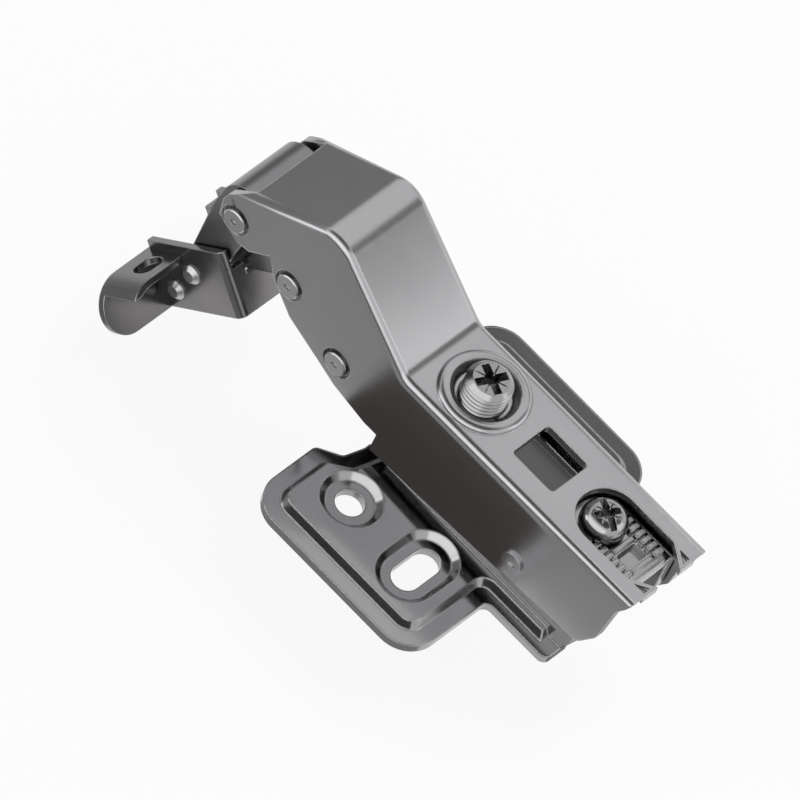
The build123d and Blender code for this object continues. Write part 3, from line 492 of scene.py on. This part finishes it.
# %% Moulded nylon
NYLON_DARK, NYLON_LIGHT = (0.018, 0.018, 0.02, 1), (0.035, 0.035, 0.037, 1)
NYLON_ROUGHNESS = (0.42, 0.6)
PEBBLE_SCALE, PEBBLE_STRENGTH = 3000.0, 0.2
dark_plastic = bpy.data.materials.new("dark_plastic")
dark_plastic.use_nodes = True
tree = dark_plastic.node_tree
shader = tree.nodes["Principled BSDF"]
place = tree.nodes.new("ShaderNodeTexCoord")
clouds = tree.nodes.new("ShaderNodeGroup")
clouds.node_tree = cloud_group
clouds.inputs["Dark"].default_value = NYLON_DARK
clouds.inputs["Light"].default_value = NYLON_LIGHT
pebble = tree.nodes.new("ShaderNodeTexNoise")
pebble.inputs["Scale"].default_value = PEBBLE_SCALE
haze = tree.nodes.new("ShaderNodeMapRange")
haze.inputs["To Min"].default_value = NYLON_ROUGHNESS[0]
haze.inputs["To Max"].default_value = NYLON_ROUGHNESS[1]
relief = tree.nodes.new("ShaderNodeBump")
relief.inputs["Strength"].default_value = PEBBLE_STRENGTH
relief.inputs["Distance"].default_value = RELIEF_DEPTH
tree.links.new(place.outputs["Object"], clouds.inputs["Vector"])
tree.links.new(place.outputs["Object"], pebble.inputs["Vector"])
tree.links.new(clouds.outputs["Color"], shader.inputs["Base Color"])
tree.links.new(pebble.outputs["Fac"], haze.inputs["Value"])
tree.links.new(haze.outputs["Result"], shader.inputs["Roughness"])
tree.links.new(pebble.outputs["Fac"], relief.inputs["Height"])
tree.links.new(relief.outputs[0], shader.inputs["Normal"])

# %% Give each part its finish
parts_in = (
    (plate_metal, ("mounting_plate",)),
    (clamp_metal, ("clamp_plate",)),
    (arm_metal, ("hinge_arm",)),
    (screw_metal, ("clamp_screw", "overlay_screw")),
    (rivet_metal, (
        "tip_rivet", "head_rivet", "damper_rivet", "guide_stud_near", "guide_stud_far",
        "upper_pin_near", "upper_pin_far", "lower_pin",
    )),
    (link_metal, ("outer_link", "inner_link")),
    (bracket_metal, ("frame_bracket", "wing_plate")),
    (damper_metal, ("damper_cylinder", "damper_rod")),
    (dark_plastic, ("damper_plug", "damper_piston", "push_cap", "damper_cradle")),
    (spring_metal, ("closing_spring",)),
)
for finish, names in parts_in:
    for name in names:
        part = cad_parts[name]
        part.data.materials.clear()
        part.data.materials.append(finish)
    print(finish.name, "on", ", ".join(names))

# %% [markdown]
# ## Modelling by hand
# Blender's operators act on whatever is selected. So each step first makes one object the only
# selected one, and then picks its vertices, edges or faces by where they are. Booleans do the
# cutting, as a mill would, and the cutter is thrown away afterwards. A boolean can leave two
# corners closer than a hair, so each one is followed by a weld, which keeps the surface closed.


# %% Modelling helpers
HAIR = 0.002 * MM


def only(thing):
    """Make one object the only selected one, and the active one."""
    bpy.ops.object.select_all(action="DESELECT")
    thing.select_set(True)
    bpy.context.view_layer.objects.active = thing


def bake_place(thing):
    """Put the object's move, turn and scale into its mesh."""
    only(thing)
    bpy.ops.object.transform_apply(location=True, rotation=True, scale=True)


def pick(thing, kind, wanted):
    """Enter edit mode with just the wanted vertices, edges or faces selected."""
    only(thing)
    bpy.ops.object.mode_set(mode="EDIT")
    bpy.ops.mesh.select_mode(type=kind)
    bpy.ops.mesh.select_all(action="DESELECT")
    bpy.ops.object.mode_set(mode="OBJECT")
    mesh = thing.data
    family = {"VERT": mesh.vertices, "EDGE": mesh.edges, "FACE": mesh.polygons}[kind]
    for element in family:
        element.select = wanted(element)
    bpy.ops.object.mode_set(mode="EDIT")


def weld(piece):
    """Merge corners that lie closer than a hair, so that no face is a sliver."""
    pick(piece, "VERT", lambda corner: True)
    bpy.ops.mesh.remove_doubles(threshold=HAIR)
    bpy.ops.mesh.select_all(action="SELECT")
    bpy.ops.mesh.dissolve_degenerate(threshold=HAIR / 2)
    bpy.ops.object.mode_set(mode="OBJECT")


def combine(body, tool, way):
    """Join or cut one object with another, and remove the other."""
    step = body.modifiers.new("boolean", "BOOLEAN")
    step.operation = way
    step.solver = "EXACT"
    step.object = tool
    only(body)
    bpy.ops.object.modifier_apply(modifier=step.name)
    bpy.data.objects.remove(tool, do_unlink=True)
    weld(body)


# %% [markdown]
# ## A real thread
# A thread is one tooth carried up a helix. The tooth starts as a plane standing on the screw's
# skin: its outer edge is narrowed to the crest, and the edge on the root side is deleted, so
# that each turn meets the next. The Screw modifier carries it up by one pitch in each turn. The
# open ends are filled, and a turned blank, with a broken edge at its top, trims the rod to
# length.


# %% Threaded rod
CREST_SHARE = 0.2
STEPS_A_TURN = 56


def rim_heights(thing, edge):
    """The two heights of an edge's ends."""
    return [thing.data.vertices[corner].co.z for corner in edge.vertices]


def threaded_rod(name, crest_r, root_r, pitch, bottom, turns):
    """A closed rod with a helical thread, standing on the Z axis."""
    bpy.ops.object.select_all(action="DESELECT")
    middle_r = (crest_r + root_r) / 2
    upright = (math.radians(90), 0, 0)
    bpy.ops.mesh.primitive_plane_add(size=1, location=(middle_r, 0, bottom), rotation=upright)
    rod = bpy.context.object
    rod.name = name
    rod.scale = (crest_r - root_r, pitch, 1)
    bake_place(rod)
    pick(rod, "VERT", lambda corner: corner.co.x > middle_r)
    bpy.ops.transform.resize(value=(1, 1, CREST_SHARE))
    bpy.ops.object.mode_set(mode="OBJECT")
    root = [corner.index for corner in rod.data.vertices if corner.co.x < middle_r]
    pick(rod, "EDGE", lambda edge: all(corner in root for corner in edge.vertices))
    bpy.ops.mesh.delete(type="EDGE")
    bpy.ops.object.mode_set(mode="OBJECT")
    helix = rod.modifiers.new("helix", "SCREW")
    helix.axis = "Z"
    helix.screw_offset = pitch
    helix.iterations = turns
    helix.steps = STEPS_A_TURN
    helix.render_steps = STEPS_A_TURN
    only(rod)
    bpy.ops.object.modifier_apply(modifier=helix.name)
    pick(rod, "VERT", lambda corner: True)
    bpy.ops.mesh.remove_doubles(threshold=HAIR / 2)
    bpy.ops.mesh.select_all(action="DESELECT")
    bpy.ops.mesh.select_non_manifold()
    bpy.ops.mesh.fill_holes(sides=0)
    bpy.ops.mesh.select_all(action="SELECT")
    bpy.ops.mesh.normals_make_consistent(inside=False)
    bpy.ops.object.mode_set(mode="OBJECT")
    return rod


def turned(name, radius, bottom, top, broken=0.0, steps=1):
    """A turned cylinder on the Z axis whose top edge is broken by a bevel."""
    bpy.ops.object.select_all(action="DESELECT")
    bpy.ops.mesh.primitive_cylinder_add(
        vertices=72, radius=radius, depth=top - bottom, location=(0, 0, (bottom + top) / 2),
    )
    body = bpy.context.object
    body.name = name
    bake_place(body)
    if broken:
        near_top = top - 0.01 * MM
        pick(body, "EDGE", lambda edge: min(rim_heights(body, edge)) > near_top)
        bpy.ops.mesh.bevel(offset=broken, segments=steps, profile=0.5, affect="EDGES")
        bpy.ops.object.mode_set(mode="OBJECT")
    return body


# %% [markdown]
# ## The driver's recess
# The recess is a cross of two blades that narrow towards their bottom, with four fine ticks
# between them. A blade starts as a cube, and its lower face is scaled in, which gives the draft
# that lets the driver's tip wedge itself. The cross is turned a little, as it is in the
# photograph.


# %% Recess cutters
BLADE_FOOT = 0.55  # the share of a blade's span that is left at its bottom
HEART_SHARE = 1.7  # the square where the blades meet, in blade widths
TICK_REACH, TICK_WIDTH, TICK_DEPTH = 1.12, 0.26 * MM, 0.5 * MM
PROUD = 0.05 * MM  # how far a cutter stands over the top, so that no two faces coincide
SMOOTH_UNDER = 32  # degrees; sharper bends stay as edges


def blade(span, width, top, depth, heading):
    """A wedge-shaped cutter whose upper face lies just above the screw's top."""
    bpy.ops.object.select_all(action="DESELECT")
    bpy.ops.mesh.primitive_cube_add(size=1, location=(0, 0, top - depth / 2 + PROUD))
    wedge = bpy.context.object
    wedge.scale = (span, width, depth)
    bake_place(wedge)
    middle_z = top - depth / 2
    pick(wedge, "VERT", lambda corner: corner.co.z < middle_z)
    bpy.ops.transform.resize(value=(BLADE_FOOT, BLADE_FOOT, 1))
    bpy.ops.object.mode_set(mode="OBJECT")
    wedge.rotation_euler = (0, 0, math.radians(heading))
    bake_place(wedge)
    return wedge


def cut_cross(screw, top, long_span, short_span, width, depth, heading):
    """Cut the cross and its four ticks into the top of a screw."""
    combine(screw, blade(long_span, width, top, depth, heading), "DIFFERENCE")
    combine(screw, blade(short_span, width, top, depth, heading + 90), "DIFFERENCE")
    heart = HEART_SHARE * width
    combine(screw, blade(heart, heart, top, depth, heading + 45), "DIFFERENCE")
    for turn in (45, 135):
        tick = blade(short_span * TICK_REACH, TICK_WIDTH, top, TICK_DEPTH, heading + turn)
        combine(screw, tick, "DIFFERENCE")


def hand_over(piece, metal, body, node):
    """Shade a finished piece, give it its metal and let it stand for its solid."""
    only(piece)
    bpy.ops.object.shade_smooth_by_angle(angle=math.radians(SMOOTH_UNDER))
    piece.data.materials.clear()
    piece.data.materials.append(metal)
    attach(piece, body)
    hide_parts(node)
    print(piece.name, len(piece.data.polygons), "faces")


def seat_screw(screw, x, body, node):
    """Move a finished screw to its place on the hinge and hand it over."""
    screw.location = (x, 0, 0)
    bake_place(screw)
    hand_over(screw, screw_metal, body, node)


# %% [markdown]
# ## The overlay screw
# This screw sets how far the door covers the cabinet. Its threaded body stands up through the
# dish in the arm, a thin neck passes the slot in the rail, and a wide foot is held under the
# rail's roof. The sizes of the solid are read from its box, so the new screw fills the same room.

# %% Overlay screw
STEM_HEIGHT = 3.4 * MM  # the foot and the neck, below the thread
THREAD_DEPTH, THREAD_PITCH, THREAD_TURNS = 0.42 * MM, 0.8 * MM, 11
BLANK_SPARE, TOP_BREAK = 0.2 * MM, 1.0 * MM
NECK_R, FOOT_R, FOOT_HEIGHT, FOOT_BREAK = 1.8 * MM, 2.9 * MM, 1.4 * MM, 0.25 * MM
low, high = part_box("overlay_screw")
overlay_x = (low[0] + high[0]) / 2
crest_r = (high[0] - low[0]) / 2
overlay_top = high[2]
thread_bottom = low[2] + STEM_HEIGHT
overlay = threaded_rod(
    "overlay_screw_threaded", crest_r, crest_r - THREAD_DEPTH, THREAD_PITCH,
    thread_bottom - THREAD_PITCH, THREAD_TURNS,
)
blank = turned("overlay_blank", crest_r + BLANK_SPARE, thread_bottom, overlay_top, TOP_BREAK)
combine(overlay, blank, "INTERSECT")
cut_cross(
    overlay, overlay_top, long_span=4.9 * MM, short_span=4.9 * MM,
    width=1.25 * MM, depth=2.4 * MM, heading=-23,
)
neck = turned("overlay_neck", NECK_R, low[2] + 0.2 * MM, thread_bottom + 0.1 * MM)
combine(overlay, neck, "UNION")
foot = turned("overlay_foot", FOOT_R, low[2], low[2] + FOOT_HEIGHT, FOOT_BREAK, steps=3)
combine(overlay, foot, "UNION")
seat_screw(overlay, overlay_x, "overlay", "overlay_screw")

# %% [markdown]
# ## The clamp screw
# The second screw locks the arm on its rail. It has a domed head, made by a wide bevel in many
# steps on the top edge of a short cylinder, and a recess with one long blade that reaches over
# the dome, so that a flat driver fits it too. Its shank is threaded like the first screw.

# %% Clamp screw
HEAD_HEIGHT, DOME, DOME_STEPS = 2.6 * MM, 2.3 * MM, 10
SHANK_CREST, SHANK_ROOT, SHANK_BLANK = 2.0 * MM, 1.7 * MM, 2.2 * MM
SHANK_PITCH, SHANK_TURNS = 0.7 * MM, 16
SHANK_SUNK = 0.4 * MM  # how far the shank reaches into the head
low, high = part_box("clamp_screw")
clamp_x = (low[0] + high[0]) / 2
head_r = (high[0] - low[0]) / 2
head_top = high[2]
head_bottom = head_top - HEAD_HEIGHT
clamp = turned("clamp_screw_domed", head_r, head_bottom, head_top, DOME, DOME_STEPS)
cut_cross(
    clamp, head_top, long_span=6.2 * MM, short_span=4.2 * MM,
    width=1.1 * MM, depth=1.9 * MM, heading=-24,
)
shank = threaded_rod(
    "clamp_shank", SHANK_CREST, SHANK_ROOT, SHANK_PITCH, low[2] - SHANK_PITCH, SHANK_TURNS,
)
combine(shank, turned("shank_blank", SHANK_BLANK, low[2], head_bottom + SHANK_SUNK), "INTERSECT")
combine(clamp, shank, "UNION")
seat_screw(clamp, clamp_x, "clamp", "clamp_screw")

# %% [markdown]
# ## The clamp plate
# The screw presses a toothed plate on the rail. Its teeth stand in two rows beside a pocket,
# and each one is a small block with rounded edges, as a coining die leaves it. One block is
# modelled, then copied along the row and across. A raised seat lies under the screw's head,
# and a low step runs across on each side of the pocket.


# %% Coined blocks
def block(name, low, high, rounding, corner=0.0):
    """A rounded block between two corners, with wider upright corners if wanted."""
    bpy.ops.object.select_all(action="DESELECT")
    middle = [(a + b) / 2 for a, b in zip(low, high)]
    bpy.ops.mesh.primitive_cube_add(size=1, location=middle)
    lump = bpy.context.object
    lump.name = name
    lump.scale = [b - a for a, b in zip(low, high)]
    bake_place(lump)
    if corner:
        half_height = 0.5 * (high[2] - low[2])

        def stands_up(edge):
            first, last = rim_heights(lump, edge)
            return abs(first - last) > half_height

        pick(lump, "EDGE", stands_up)
        bpy.ops.mesh.bevel(offset=corner, segments=5, affect="EDGES")
        bpy.ops.object.mode_set(mode="OBJECT")
        pick(lump, "EDGE", lambda edge: min(rim_heights(lump, edge)) > middle[2])
    else:
        pick(lump, "EDGE", lambda edge: True)
    bpy.ops.mesh.bevel(offset=rounding, segments=3, affect="EDGES")
    bpy.ops.object.mode_set(mode="OBJECT")
    return lump


# %% Plate, seat and steps
BASE_THICKNESS, BASE_ROUNDING, BASE_CORNER = 1.1 * MM, 0.2 * MM, 1.0 * MM
BURIED = 0.3 * MM  # how far each block reaches into the base
SEAT_INSET, SEAT_REACH, SEAT_ROUNDING = 0.1 * MM, 0.4 * MM, 0.25 * MM
STEPS_BEHIND_SCREW = ((3.6, 4.4, 0.5), (7.3, 8.1, 0.3))  # front, rear and rise, in millimetres
STEP_HALF_WIDTH, STEP_ROUNDING = 2.0 * MM, 0.15 * MM
low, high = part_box("clamp_plate")
front, rear, side = low[0], high[0], high[1]
base_top, tooth_top = low[2] + BASE_THICKNESS, high[2]
root_z = base_top - BURIED
base_low, base_high = (front, -side, low[2]), (rear, side, base_top)
plate = block("clamp_plate_toothed", base_low, base_high, BASE_ROUNDING, BASE_CORNER)
seat_low = (front + SEAT_INSET, SEAT_INSET - side, root_z)
seat_high = (clamp_x + SEAT_REACH, side - SEAT_INSET, tooth_top)
combine(plate, block("seat", seat_low, seat_high, SEAT_ROUNDING), "UNION")
for step_front, step_rear, rise in STEPS_BEHIND_SCREW:
    step_low = (clamp_x + step_front * MM, -STEP_HALF_WIDTH, root_z)
    step_high = (clamp_x + step_rear * MM, STEP_HALF_WIDTH, base_top + rise * MM)
    combine(plate, block("step", step_low, step_high, STEP_ROUNDING), "UNION")
print("plate with its seat:", len(plate.data.polygons), "faces")

# %% [markdown]
# The first tooth is the one nearest the screw, on the far side. It stays apart until all its
# copies are made. The copies move along the row by whole pitches, and every second one moves
# over to the near side.

# %% Two rows of teeth
TOOTH_COUNT, TOOTH_PITCH, HALF_TOOTH, TOOTH_ROUNDING = 7, 1.15 * MM, 0.44 * MM, 0.2 * MM
TOOTH_INNER, TOOTH_OUTER_GAP = 2.2 * MM, 0.05 * MM
ROW_MARGIN = 0.8 * MM
TO_NEAR_ROW = 2.15 * MM  # with the half width, it carries a tooth to its mirrored place
first_x = rear - ROW_MARGIN - (TOOTH_COUNT - 0.5) * TOOTH_PITCH
tooth_low = (first_x - HALF_TOOTH, TOOTH_INNER, root_z)
tooth_high = (first_x + HALF_TOOTH, side - TOOTH_OUTER_GAP, tooth_top)
tooth = block("tooth", tooth_low, tooth_high, TOOTH_ROUNDING)
teeth = []
for index in range(TOOTH_COUNT):
    for across in (0, -side - TO_NEAR_ROW):
        only(tooth)
        bpy.ops.object.duplicate()
        copy = bpy.context.object
        copy.location = (index * TOOTH_PITCH, across, 0)
        bake_place(copy)
        teeth.append(copy)
bpy.data.objects.remove(tooth, do_unlink=True)
for copy in teeth:
    combine(plate, copy, "UNION")
print("teeth:", len(teeth))

# %% Hole for the shank, and the pocket
SHANK_HOLE_R, PAST = 2.2 * MM, 1 * MM
POCKET_FRONT, POCKET_REAR = 4.6 * MM, 7.0 * MM
POCKET_HALF_WIDTH, POCKET_ROUNDING = 1.8 * MM, 0.3 * MM
under, over = low[2] - PAST, high[2] + PAST
shank_hole = turned("shank_hole", SHANK_HOLE_R, under, over)
shank_hole.location = (clamp_x, 0, 0)
bake_place(shank_hole)
combine(plate, shank_hole, "DIFFERENCE")
pocket_low = (clamp_x + POCKET_FRONT, -POCKET_HALF_WIDTH, under)
pocket_high = (clamp_x + POCKET_REAR, POCKET_HALF_WIDTH, over)
combine(plate, block("pocket", pocket_low, pocket_high, POCKET_ROUNDING), "DIFFERENCE")
hand_over(plate, clamp_metal, "plate", "clamp_plate")

# %% [markdown]
# ## A softer copy of the arm
# The solid of the arm is right in size but crisp, and a press leaves softer forms. A merged
# copy takes its place, and the solid stays as it is and is hidden. The triangles of each flat
# are dissolved into one face, and the normals are weighed by face area, so that the flats stay
# flat beside the narrow bends.


# %% Copy and finish
FLAT_WITHIN = 0.5  # degrees
LARGE_FACES_FIRST = 100


def merged_copy(node, name):
    """A copy of a solid's mesh whose triangles share their corners."""
    copy = bpy.data.objects.new(name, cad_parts[node].data.copy())
    scene.collection.objects.link(copy)
    pick(copy, "VERT", lambda corner: True)
    bpy.ops.mesh.remove_doubles(threshold=HAIR / 4)
    bpy.ops.object.mode_set(mode="OBJECT")
    return copy


def dissolve_flats(piece):
    """Join the triangles of every flat into one face."""
    pick(piece, "FACE", lambda face: True)
    bpy.ops.mesh.dissolve_limited(angle_limit=math.radians(FLAT_WITHIN))
    bpy.ops.object.mode_set(mode="OBJECT")


def weigh_normals(piece):
    """Let the large faces decide the normals at their edges."""
    weights = piece.modifiers.new("flat_first", "WEIGHTED_NORMAL")
    weights.mode = "FACE_AREA"
    weights.weight = LARGE_FACES_FIRST
    weights.keep_sharp = True
    only(piece)
    bpy.ops.object.modifier_apply(modifier=weights.name)


# %% [markdown]
# The press raises a soft ring round the overlay screw. A flattened ring is joined to the copy of
# the arm, and its crest rolls over the rim of the dish.

# %% Arm with a soft boss
ARM_OVER_TEETH = 1.8 * MM  # from the clamp plate's teeth up to the arm's top
BOSS_R, BOSS_TUBE, BOSS_SUNK, BOSS_FLATTENED = 5.6 * MM, 1.05 * MM, 0.05 * MM, 0.78
arm = merged_copy("hinge_arm", "hinge_arm_soft_boss")
low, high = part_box("clamp_plate")
arm_top = high[2] + ARM_OVER_TEETH
bpy.ops.object.select_all(action="DESELECT")
bpy.ops.mesh.primitive_torus_add(
    location=(overlay_x, 0, arm_top - BOSS_SUNK),
    major_radius=BOSS_R, minor_radius=BOSS_TUBE, major_segments=96, minor_segments=24,
)
ring = bpy.context.object
ring.scale = (1, 1, BOSS_FLATTENED)
bake_place(ring)
combine(arm, ring, "UNION")
dissolve_flats(arm)
hand_over(arm, arm_metal, "arm", "hinge_arm")
weigh_normals(arm)
